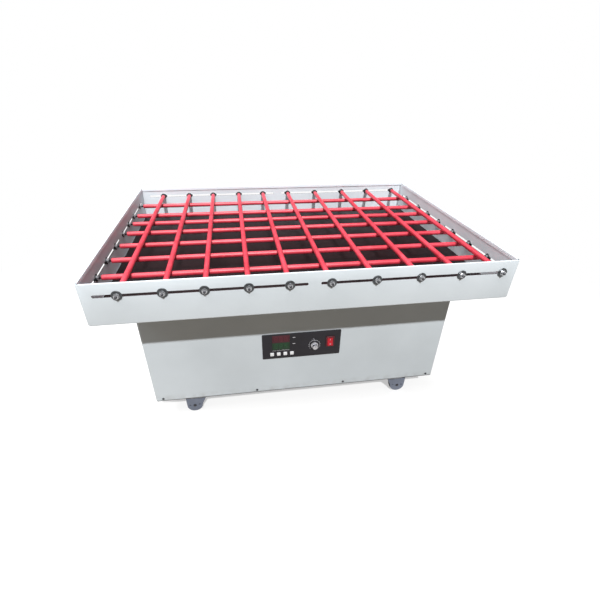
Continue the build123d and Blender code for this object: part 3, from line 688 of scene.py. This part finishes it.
class MakeBars(bpy.types.Operator):
    """Make every clamp bar: a threaded rod, its red sleeve, and washers and nuts at both walls"""

    bl_idname = "shaker.clamp_bars"
    bl_label = "Clamp bars"

    def execute(self, context):
        s = sizes()
        patterns = [
            (self.washer(s, s.washer_radius), self.outer_nut(s), 1),
            (self.washer(s, s.inner_washer_radius), self.nut(s, s.washer), -1),
        ]
        for node in UPPER_BARS + LOWER_BARS:
            self.bar(node, s, patterns)
        for washer, nut, _ in patterns:
            bpy.data.objects.remove(washer)
            bpy.data.objects.remove(nut)
        return {"FINISHED"}

    def washer(self, s, r):
        """A flat washer with rounded edges, standing on Z = 0."""
        t, edge, bore = s.washer, 0.0004, s.rod_radius + BORE_GAP
        rim = [(r - edge, 0), (r, edge), (r, t - edge), (r - edge, t)]
        return turned("washer", rim + [(bore, t), (bore, 0)], 36, closed=True)

    def outer_nut(self, s):
        """A split spring washer and a nut on top of the wide washer."""
        r, bore, start = s.spring_radius, s.rod_radius + BORE_GAP, s.washer
        top = start + s.spring
        spring = turned("spring", [(r, start), (r, top), (bore, top), (bore, start)], 32, closed=True)
        half_split, past = 0.0004, 0.001
        cut(spring, block("split", (0, -half_split, start - past), (2 * r, half_split, top + past)))
        return join("outer_nut", [spring, self.nut(s, top)])

    def nut(self, s, height):
        """A hexagon nut with turned faces, from this height upwards."""
        corner = s.nut_flats / 2 / cos(pi / 6)
        face = s.nut_flats / 2 * 0.98
        edge = (corner - face) * 0.5
        wide, top = corner + edge, height + s.nut
        hexagon = turned("nut", [(corner, height), (corner, top)], 6)
        cone = [(face, height), (wide, height + edge), (wide, top - edge), (face, top)]
        combine(hexagon, "INTERSECT", [turned("trim", cone, 32)])
        bore = turned("bore", [(s.rod_radius, height - s.nut), (s.rod_radius, height + 2 * s.nut)], 24)
        return cut(hexagon, bore)

    def bar(self, node, s, patterns):
        low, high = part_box(node)
        middle = (low + high) / 2
        axis = 1 if high.y - low.y > high.x - low.x else 0
        direction = Vector((0, 1, 0)) if axis else Vector((1, 0, 0))
        wall_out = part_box("tray")[1][axis]
        wall_in = wall_out - s.sheet
        half = (high[axis] - low[axis]) / 2
        sleeve_end = wall_in - s.nut - s.bare_thread
        r, bore, lip = s.sleeve_radius, s.rod_radius + 0.0001, 0.0008
        right = [(r, sleeve_end - lip), (r - lip, sleeve_end), (bore, sleeve_end)]
        sleeve = stand(turned(node + "_sleeve", mirrored(right) + right, 28, closed=True), middle, direction)
        dress(sleeve, node, finish("red_sleeve"), [node])
        covered_thread = 0.004
        ends = thread_profile(sleeve_end - covered_thread, half, s.rod_radius, s.thread_pitch)
        rod = stand(turned(node + "_rod", mirrored(ends) + ends, 20), middle, direction)
        dress(rod, node, finish("thread"))
        washers, nuts = [], []
        for side in (-1, 1):
            for washer, nut, facing in patterns:
                wall = (wall_out if facing > 0 else wall_in) + facing * WASHER_CLEARANCE
                place, outward = middle + direction * side * wall, direction * side * facing
                washers.append(stand(copy_of(washer, "washer"), place, outward))
                nuts.append(stand(copy_of(nut, "nut"), place, outward))
        dress(join(node + "_washers", washers), node, finish("washer"), smooth=30)
        dress(join(node + "_nuts", nuts), node, finish("zinc"), smooth=25)


class MakeCabinet(bpy.types.Operator):
    """Fold the cabinet's cover with its openings, and set its screws"""

    bl_idname = "shaker.cabinet"
    bl_label = "Cabinet"

    def execute(self, context):
        s = sizes()
        low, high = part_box("base_cover")
        piece = block("cabinet_cover", low, high)
        round_edges(piece, runs_along(2), s.cover_corner, 6)
        round_edges(piece, lies_at(2, high.z), s.cover_bend, 4)
        pick(piece, "FACE", lies_at(2, low.z))
        bpy.ops.mesh.delete(type="ONLY_FACE")
        leave_edit()
        apply_modifier(piece, "SOLIDIFY", thickness=s.sheet, offset=-1, use_even_offset=True)
        self.cut_openings(piece, s, low, high)
        dress(piece, "base", finish("cabinet_paint_shaded"), ["base_cover"])
        self.set_screws(s, low, high)
        return {"FINISHED"}

    def cut_openings(self, piece, s, low, high):
        """Cut the panel's window, the rocker arm's port, the inlet's hole and the louvres at the back."""
        deep = 2 * s.sheet
        lap = 0.008
        panel_low, panel_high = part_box("control_panel")
        start = (panel_low.x + lap, low.y - deep, panel_low.z + lap)
        end = (panel_high.x - lap, low.y + deep, panel_high.z - lap)
        cut(piece, block("window", start, end))
        hub_step = 0.007  # how far the arm's hub stands out from each side of its blade
        gap, reach = 0.008, 0.031
        arm_low, arm_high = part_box("rocker_arm")
        start = (arm_low.x + hub_step - gap, -reach, high.z - deep)
        end = (arm_high.x - hub_step + gap, reach, high.z + deep)
        cut(piece, pill("port", start, end, 2))
        half_wide, half_tall = 0.02, 0.012
        inlet = middle_of("power_inlet")
        start = (inlet.x - half_wide, high.y - deep, inlet.z - half_tall)
        end = (inlet.x + half_wide, high.y + deep, inlet.z + half_tall)
        cut(piece, block("inlet", start, end))
        rows, first, pitch = 8, 0.060, 0.012
        aside, half_wide, half_tall = 0.250, 0.035, 0.002
        for side in (-1, 1):
            for row in range(rows):
                z = high.z - first - row * pitch
                start = (side * aside - half_wide, high.y - deep, z - half_tall)
                end = (side * aside + half_wide, high.y + deep, z + half_tall)
                cut(piece, pill("louvre", start, end, 1))

    def set_screws(self, s, low, high):
        """Domed screws with a cross recess along the lower edge, front and back."""
        r = s.screw_radius
        dome = [(r, 0), (r, 0.0006), (r * 0.9, 0.0014), (r * 0.6, 0.0020), (r * 0.2, 0.0022)]
        pattern = turned("screw", dome, 20)
        recess_long, recess_wide, recess_floor, above = r * 0.6, r * 0.12, 0.0009, 0.004
        for angle in (0, pi / 2):
            start = (-recess_long, -recess_wide, recess_floor)
            blade = block("blade", start, (recess_long, recess_wide, above))
            blade.data.transform(Matrix.Rotation(angle, 4, "Z"))
            cut(pattern, blade)
        screws = []
        for x in SCREW_PLACES:
            for y, outward in ((low.y, FORWARD), (high.y, (0, 1, 0))):
                screws.append(stand(copy_of(pattern, "screw"), (x, y, low.z + s.screw_rise), outward))
        bpy.data.objects.remove(pattern)
        dress(join("cabinet_screws", screws), "base", finish("thread"), smooth=30)


class MakePanel(bpy.types.Operator):
    """Make the control panel's plate, its printed marks, the display and the keys"""

    bl_idname = "shaker.control_panel"
    bl_label = "Control panel"

    def execute(self, context):
        low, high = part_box("control_panel")
        plate = block("panel_plate", low, high)
        corner, edge = 0.003, 0.0004
        round_edges(plate, runs_along(1), corner, 4)
        key_gaps = {f"key_{number}": 0.0003 for number in KEYS}
        gaps = {"display_window": 0.0002, **key_gaps, "power_switch": -0.002}
        cut(plate, *[self.around(node, gap, low, high) for node, gap in gaps.items()])
        knob = middle_of("speed_knob")
        bore, reach = 0.0035, 0.02
        hole = turned("hole", [(bore, -reach), (bore, reach)], 24)
        cut(plate, stand(hole, (knob.x, high.y, knob.z), FORWARD))
        soften(plate, edge)
        dress(plate, "base", finish("panel_overlay"), ["control_panel"])
        self.display()
        self.keys()
        self.marks(low.y, knob)
        return {"FINISHED"}

    def around(self, node, gap, low, high):
        """A cutter round a node that stands in the plate, smaller than the node where the gap is under 0."""
        node_low, node_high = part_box(node)
        lip = KEY_LIP if node.startswith("key_") else 0
        start = (node_low.x + lip - gap, low.y - THROUGH, node_low.z + lip - gap)
        end = (node_high.x - lip + gap, high.y + THROUGH, node_high.z - lip + gap)
        return block("hole", start, end)

    def display(self):
        """Two tinted windows with unlit digit segments behind them."""
        digits, pitch, edge = 3, 0.0145, 0.0004
        window_low, window_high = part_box("display_window")
        split = (window_low.z + window_high.z) / 2
        rows = (("upper", split, window_high.z, "red"), ("lower", window_low.z, split, "green"))
        for name, start, end, tint in rows:
            corner = (window_low.x, window_low.y, start)
            far = (window_high.x, window_high.y, end)
            pane = soft_block(f"display_{name}", corner, far, edge, 2)
            nodes = ["display_window"] if name == "upper" else []
            dress(pane, "base", finish(f"display_{name}"), nodes)
            bars = []
            for digit in range(digits):
                x = (window_low.x + window_high.x) / 2 + (digit - 1) * pitch
                bars += self.digit(x, window_low.y, (start + end) / 2)
            segments = join(f"display_{name}_segments", bars)
            dress(segments, "base", finish(f"segments_{tint}"))

    def digit(self, x, y, z):
        """The seven bars of one unlit digit."""
        wide, tall, bar, proud = 0.0066, 0.0070, 0.0011, 0.00008
        made = []
        for level in (-1, 0, 1):
            middle = z + level * tall
            corner = (x - wide / 2 + bar * 0.7, y - proud, middle - bar / 2)
            made.append(block("bar", corner, (x + wide / 2 - bar * 0.7, y + proud, middle + bar / 2)))
        for side in (-1, 1):
            for start in (-tall, 0):
                edge = x + side * wide / 2
                corner = (edge - bar / 2, y - proud, z + start + bar * 0.7)
                made.append(block("bar", corner, (edge + bar / 2, y + proud, z + start + tall - bar * 0.7)))
        return made

    def keys(self):
        """Square caps with rounded corners, each in front of its flange."""
        deep, corner, edge = 0.006, 0.0018, 0.0009
        for number in KEYS:
            low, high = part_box(f"key_{number}")
            start = (low.x + KEY_LIP, low.y, low.z + KEY_LIP)
            end = (high.x - KEY_LIP, low.y + deep, high.z - KEY_LIP)
            cap = block(f"key_{number}_cap", start, end)
            round_edges(cap, runs_along(1), corner, 4)
            round_edges(cap, lies_at(1, low.y), edge, 3)
            dress(cap, f"key_{number}", finish("key_white"), [f"key_{number}"])

    def marks(self, y, knob):
        """Printed marks: a dial round the knob, two bars beside the display and a rule under it."""
        proud = 0.00012
        dial_in, dial_out = 0.0158, 0.0164
        ring = [(dial_in, 0), (dial_out, 0), (dial_out, proud), (dial_in, proud)]
        dial = stand(turned("dial", ring, 64, closed=True), (knob.x, y, knob.z), FORWARD)
        open_half = 0.0115
        start = (knob.x - open_half, y - THROUGH, knob.z - 0.03)
        cut(dial, block("gap", start, (knob.x + open_half, y + THROUGH, knob.z - 0.008)))
        made = [dial]
        ticks, first, turn, every = 11, -135, 27, 5
        tick_half, tick_in, tick_out, tick_long = 0.0003, 0.0168, 0.0186, 0.0194
        for step in range(ticks):
            end = (tick_half, 0, tick_out if step % every else tick_long)
            tick = block("tick", (-tick_half, -proud, tick_in), end)
            swing = Matrix.Rotation(radians(first + step * turn), 4, "Y")
            tick.data.transform(Matrix.Translation((knob.x, y, knob.z)) @ swing)
            made.append(tick)
        low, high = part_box("display_window")
        near, far, half = 0.0085, 0.0165, 0.0009
        for row in (high.z - 0.010, high.z - 0.032):
            start = (high.x + near, y - proud, row - half)
            made.append(block("lamp", start, (high.x + far, y, row + half)))
        start = (low.x, y - proud, low.z - 0.0022)
        made.append(block("rule", start, (high.x, y, low.z - 0.0016)))
        dress(join("panel_marks", made), "base", finish("print_white"))


class MakeKnob(bpy.types.Operator):
    """Turn the fluted speed knob with its skirt and pointer line"""

    bl_idname = "shaker.speed_knob"
    bl_label = "Speed knob"

    def execute(self, context):
        front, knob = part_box("speed_knob")[0].y, middle_of("speed_knob")
        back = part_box("control_panel")[0].y - 0.0005
        skirt, grip, tall = 0.011, 0.0078, back - front
        profile = [
            (skirt - 0.0006, 0), (skirt, 0.0006), (skirt, 0.0022), (skirt - 0.0008, 0.0034),
            (grip + 0.0004, 0.0040), (grip, 0.0050), (grip - 0.0002, tall - 0.0014),
            (grip - 0.0006, tall - 0.0005), (grip - 0.0014, tall),
        ]
        body = turned("knob_body", profile, 48)
        flutes, flute_radius, flute_start, past = 24, 0.00042, 0.0062, 0.001
        for number in range(flutes):
            angle = number * 2 * pi / flutes
            flute = turned("flute", [(flute_radius, flute_start), (flute_radius, tall + past)], 8)
            flute.data.transform(Matrix.Rotation(angle, 4, "Z") @ Matrix.Translation((grip, 0, 0)))
            cut(body, flute)
        stand(body, (knob.x, back, knob.z), FORWARD)
        dress(body, "speed_knob", finish("knob"), ["speed_knob"], smooth=30)
        half_wide, proud, sunk = 0.0005, 0.00002, 0.0004
        start = (knob.x - half_wide, front - proud, knob.z + 0.001)
        line = block("knob_line", start, (knob.x + half_wide, front + sunk, knob.z + 0.0062))
        dress(line, "speed_knob", finish("black_plastic"))
        return {"FINISHED"}


class MakeSwitch(bpy.types.Operator):
    """Make the power switch: its bezel with a well, and the tipped red rocker with its marks"""

    bl_idname = "shaker.power_switch"
    bl_label = "Power switch"

    def execute(self, context):
        low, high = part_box("power_switch")
        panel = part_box("control_panel")[0].y
        centre = Vector((middle_of("power_switch").x, low.y, middle_of("power_switch").z))
        bezel = block("switch_bezel", low, (high.x, panel, high.z))
        round_edges(bezel, runs_along(1), 0.003, 4)
        round_edges(bezel, lies_at(1, low.y), 0.0012, 3)
        well = Vector((0.0085, 0.010, 0.0145))
        cut(bezel, block("well", centre - well, centre + well))
        dress(bezel, "base", finish("switch_bezel"), ["power_switch"])
        inset = 0.0022
        start = (low.x + inset, panel, low.z + inset)
        body = block("switch_body", start, (high.x - inset, high.y, high.z - inset))
        dress(soften(body, 0.0006), "base", finish("black_plastic"))
        self.rocker()
        return {"FINISHED"}

    def rocker(self):
        """The rocker is made level about its pin, then tipped as it rests."""
        pin = Vector(JOINTS["rocker_tip"]["pos_m"])
        rest_tip = -8
        tip = Matrix.Translation(pin) @ Matrix.Rotation(radians(rest_tip), 4, "X")
        half, wide = 0.0132, 0.0081
        piece = block("rocker_body", (-wide, -0.0054, -half), (wide, 0.0036, half))
        pick(piece, "EDGE", runs_along(2))
        bpy.ops.mesh.subdivide(number_cuts=7)
        leave_edit()
        for vertex in piece.data.vertices:
            share = abs(vertex.co.z) / half
            if vertex.co.y < 0:
                vertex.co.y = -0.0038 - 0.0016 * share ** 2
            else:
                vertex.co.z *= 0.55
        soften(piece, 0.0006, 3, 40)
        piece.data.transform(tip)
        dress(piece, "power_rocker", finish("switch_red"), ["power_rocker"])
        stroke = block("stroke", (-0.0004, -0.0050, 0.0052), (0.0004, -0.0040, 0.0092))
        inner, outer, thick = 0.0016, 0.0022, 0.001
        ring = turned("ring", [(inner, 0), (outer, 0), (outer, thick), (inner, thick)], 24, closed=True)
        stand(ring, (0, -0.0040, -0.0072), FORWARD)
        marks = join("rocker_marks", [stroke, ring])
        marks.data.transform(tip)
        dress(marks, "power_rocker", finish("print_white"))


class MakeCasters(bpy.types.Operator):
    """Make the four swivel casters: pressed fork, ball race, axle bolt and wheel"""

    bl_idname = "shaker.casters"
    bl_label = "Casters"

    inside = 0.0102  # from the fork's middle to a cheek's inner face
    outside = 0.0127  # and to its outer face
    cheek = 0.0235  # radius of a cheek's round foot
    crown = 0.0025  # thickness of the plate that joins the cheeks
    crown_reach = 0.0335  # from the crown's middle to its ends
    race = 0.003  # from the crown's top to the top of the fork's box

    def execute(self, context):
        swivel, roll = (Vector(JOINTS[f"caster_1_{way}"]["pos_m"]) for way in ("swivel", "roll"))
        axle = Vector(((roll - swivel).xy.length, 0, roll.z))
        fork, bolts, wheel = self.fork(axle), self.bolts(axle), self.wheel(axle)
        for number in CASTERS:
            across = Vector(JOINTS[f"caster_{number}_roll"]["axis"])
            along = Vector((-across.y, across.x, 0))
            stem = Vector((*JOINTS[f"caster_{number}_swivel"]["pos_m"][:2], 0))
            to_place = Matrix.Translation(stem) @ Matrix((along, UP.cross(along), UP)).transposed().to_4x4()
            fork_body, wheel_body = f"caster_fork_{number}", f"caster_wheel_{number}"
            for pattern, name, home, slot, look, nodes in (
                (fork, "fork", fork_body, "caster_steel", "caster_steel", [fork_body]),
                (bolts, "bolts", fork_body, "bare_steel", "thread", []),
                (wheel, "tyre", wheel_body, "wheel_rubber", "wheel_rubber", [wheel_body]),
            ):
                piece = copy_of(pattern, f"caster_{number}_{name}")
                piece.data.transform(to_place)
                dress(piece, home, finish(look), nodes)
        for pattern in (fork, bolts, wheel):
            bpy.data.objects.remove(pattern)
        return {"FINISHED"}

    def crown_top(self):
        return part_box("caster_fork_1")[1].z - self.race

    def fork(self, axle):
        """Two pierced cheeks under a crown, made about the kingpin with the wheel trailing along X."""
        top, disc_radius = self.crown_top(), 0.024
        start, end = axle.x / 2 - self.crown_reach, axle.x / 2 + self.crown_reach
        crown = block("crown", (start, -self.outside, top - self.crown), (end, self.outside, top))
        disc = turned("disc", [(disc_radius, top - self.crown), (disc_radius, top)], 40)
        cheeks = []
        for side in (-1, 1):
            near, far = sorted((side * self.inside, side * self.outside))
            cheek = block("cheek", (start, near, axle.z), (end, far, top))
            for vertex in cheek.data.vertices:
                if vertex.co.z < axle.z + 1e-4:
                    vertex.co.x = axle.x + (self.cheek if vertex.co.x > axle.x / 2 else -self.cheek)
            foot = turned("foot", [(self.cheek, near), (self.cheek, far)], 48)
            foot.data.transform(Matrix.Translation(axle) @ Matrix.Rotation(-pi / 2, 4, "X"))
            cheeks.append(fuse(cheek, foot))
        fork = fuse(crown, disc, *cheeks)
        radius, reach, aside, above = 0.0026, 0.02, 0.0146, 0.001
        for step in (-1, 1):
            hole = turned("hole", [(radius, -reach), (radius, reach)], 20)
            cut(fork, stand(hole, axle + Vector((step * aside, 0, above)), (0, 1, 0)))
        return soften(fork, 0.0008, 2, 40)

    def bolts(self, axle):
        """The axle bolt's ends and the ball race under the plate."""
        top = self.crown_top()
        race = [(0.019, top), (0.0195, top + 0.0004), (0.0195, top + 0.0008), (0.006, top + 0.0008)]
        made = [turned("race", race, 40)]
        for side in (-1, 1):
            head = turned("head", [(0.0050, 0), (0.0054, 0.0004), (0.0054, 0.0012), (0.0048, 0.0015)], 6)
            made.append(stand(head, axle + Vector((0, side * self.outside, 0)), (0, side, 0)))
        return join("bolts", made)

    def wheel(self, axle):
        """A tyre and hub turned as one ring about the axle."""
        r, half = 0.025, 0.009
        profile = [
            (0.0042, -half), (0.0075, -half), (0.0085, -half + 0.0012), (0.0165, -half + 0.0016),
            (0.0185, -half + 0.0002), (0.0225, -half + 0.0004), (r - 0.0008, -half + 0.0018),
            (r, -half + 0.0042),
        ]
        return stand(turned("wheel", profile + mirrored(profile), 56, closed=True), axle, (0, 1, 0))


class FinishFrame(bpy.types.Operator):
    """Give the frame's own pieces that stay in sight their finishes"""

    bl_idname = "shaker.running_gear"
    bl_label = "Running gear"

    looks = {
        "frame_paint": ("base_frame", "bottom_pan", "platform_frame", "motor_stand"),
        "casting": ("pillow_blocks",),
        "turned_steel": ("pivot_shaft", "drive_shaft", "crank_disc", "rocker_arm", "pivot_bearings"),
        "zinc": ("pillow_bolts", "caster_plates"),
        "nylon": ("crank_roller",),
        "motor_paint": ("gear_motor",),
        "aluminium": ("drive_unit",),
        "circuit_board": ("control_board",),
        "black_plastic": ("power_inlet",),
    }

    def execute(self, context):
        for look, names in self.looks.items():
            for name in names:
                materials = frame["nodes"][name].data.materials
                materials.clear()
                materials.append(finish(look))
        return {"FINISHED"}


class MakeStage(bpy.types.Operator):
    """Set the pale floor, the lamps and the camera"""

    bl_idname = "shaker.stage"
    bl_label = "Stage"

    def execute(self, context):
        self.floor()
        self.lamps(context.scene)
        self.camera(context.scene)
        context.scene.view_settings.view_transform = "Standard"
        return {"FINISHED"}

    def floor(self):
        """A pale floor that fades to the white of the backdrop away from the machine."""
        clear_selection()
        bpy.ops.mesh.primitive_plane_add(size=30)
        floor = bpy.context.object
        floor.name = "floor"
        material = bpy.data.materials.new("floor")
        material.use_nodes = True
        tree = material.node_tree
        tree.nodes.clear()
        place = add_node(tree, "ShaderNodeTexCoord").outputs["Object"]
        distance = calculate(tree, "LENGTH", place, kind="ShaderNodeVectorMath")["Value"]
        near, far, near_glow = 0.7, 1.7, 0.5
        fade = between(tree, distance, near, far, near_glow, 1.0)
        rays = add_node(tree, "ShaderNodeLightPath").outputs
        white_rays = calculate(tree, "MAXIMUM", rays["Is Camera Ray"], rays["Is Glossy Ray"])[0]
        share = calculate(tree, "MULTIPLY", fade, white_rays)[0]
        lit, shown = (0.17, 0.135, 0.098, 1), (0.95, 0.95, 0.95, 1)
        tone = blend_colours(tree, rays["Is Camera Ray"], lit, shown)
        matte = add_node(tree, "ShaderNodeBsdfDiffuse", Color=tone)
        glow = add_node(tree, "ShaderNodeEmission", Color=(1, 1, 1, 1), Strength=1.0)
        mix = add_node(tree, "ShaderNodeMixShader")
        for socket, source in zip(mix.inputs, (share, matte.outputs[0], glow.outputs[0])):
            tree.links.new(source, socket)
        output = add_node(tree, "ShaderNodeOutputMaterial")
        tree.links.new(mix.outputs[0], output.inputs["Surface"])
        floor.data.materials.append(material)

    def lamps(self, scene):
        """One sun from the front, high up, a wide soft lamp above the left side and a pale sky."""
        bpy.ops.object.light_add(type="SUN", location=(0, -2, 3))
        sun = bpy.context.object
        sun.name = "key_sun"
        sun.data.energy = 3.5
        sun.data.angle = radians(1.5)
        above_floor, aside = 47.5, 2
        sun.rotation_euler = Euler((radians(90 - above_floor), 0, radians(aside)))
        lean = (0, radians(-16), 0)
        bpy.ops.object.light_add(type="AREA", location=(-0.7, 0.2, 2.5), rotation=lean)
        lamp = bpy.context.object
        lamp.name = "overhead_lamp"
        lamp.data.size = 3
        lamp.data.energy = 108
        world = bpy.data.worlds.new("sky")
        scene.world = world
        world.use_nodes = True
        tree = world.node_tree
        rays = add_node(tree, "ShaderNodeLightPath").outputs
        sky_light = 0.18
        level = between(tree, rays["Is Camera Ray"], 0, 1, sky_light, 1.0)
        background = tree.nodes["Background"]
        background.inputs["Color"].default_value = (1, 1, 1, 1)
        tree.links.new(level, background.inputs["Strength"])

    def camera(self, scene):
        """A camera in front of the machine's left half, looking down on the tray."""
        data = bpy.data.cameras.new("camera")
        camera = bpy.data.objects.new("camera", data)
        scene.collection.objects.link(camera)
        yaw, pitch, roll = radians(9.622), radians(33.666), radians(1.082)
        ahead = Vector((sin(yaw) * cos(pitch), cos(yaw) * cos(pitch), -sin(pitch)))
        right = Vector((cos(yaw), -sin(yaw), 0))
        above = right.cross(ahead)
        rolled = cos(roll) * right + sin(roll) * above
        above = cos(roll) * above - sin(roll) * right
        turn = Matrix((rolled, above, -ahead)).transposed().to_4x4()
        place = (-0.1635, -1.1320, 0.9202)
        camera.matrix_world = Matrix.Translation(place) @ turn
        data.lens = 23.03
        data.sensor_width = 36
        data.shift_x = 0.0026
        data.shift_y = 0.041
        scene.camera = camera


STEPS = (
    MakeTray, MakeMat, MakeBars, MakeCabinet, MakePanel, MakeKnob, MakeSwitch, MakeCasters, FinishFrame,
    MakeStage,
)


class ShakerPanel(bpy.types.Panel):
    """Lists the sizes, colours and steps of the shaker"""

    bl_idname = "VIEW3D_PT_shaker"
    bl_label = "Rocking platform shaker"
    bl_space_type = "VIEW_3D"
    bl_region_type = "UI"
    bl_category = "Shaker"

    def draw(self, context):
        for group in (context.scene.shaker_sizes, context.scene.shaker_colours):
            box = self.layout.box()
            for name in group.__annotations__:
                box.prop(group, name)
        for step in STEPS:
            self.layout.operator(step.bl_idname)


CLASSES = (ShakerSizes, ShakerColours, *STEPS, ShakerPanel)


def register():
    for item in CLASSES:
        bpy.utils.register_class(item)
    bpy.types.Scene.shaker_sizes = bpy.props.PointerProperty(type=ShakerSizes)
    bpy.types.Scene.shaker_colours = bpy.props.PointerProperty(type=ShakerColours)


def unregister():
    del bpy.types.Scene.shaker_sizes
    del bpy.types.Scene.shaker_colours
    for item in reversed(CLASSES):
        bpy.utils.unregister_class(item)


def main():
    register()
    for step in STEPS:
        family, name = step.bl_idname.split(".")
        getattr(getattr(bpy.ops, family), name)()


if __name__ == "__main__":
    main()
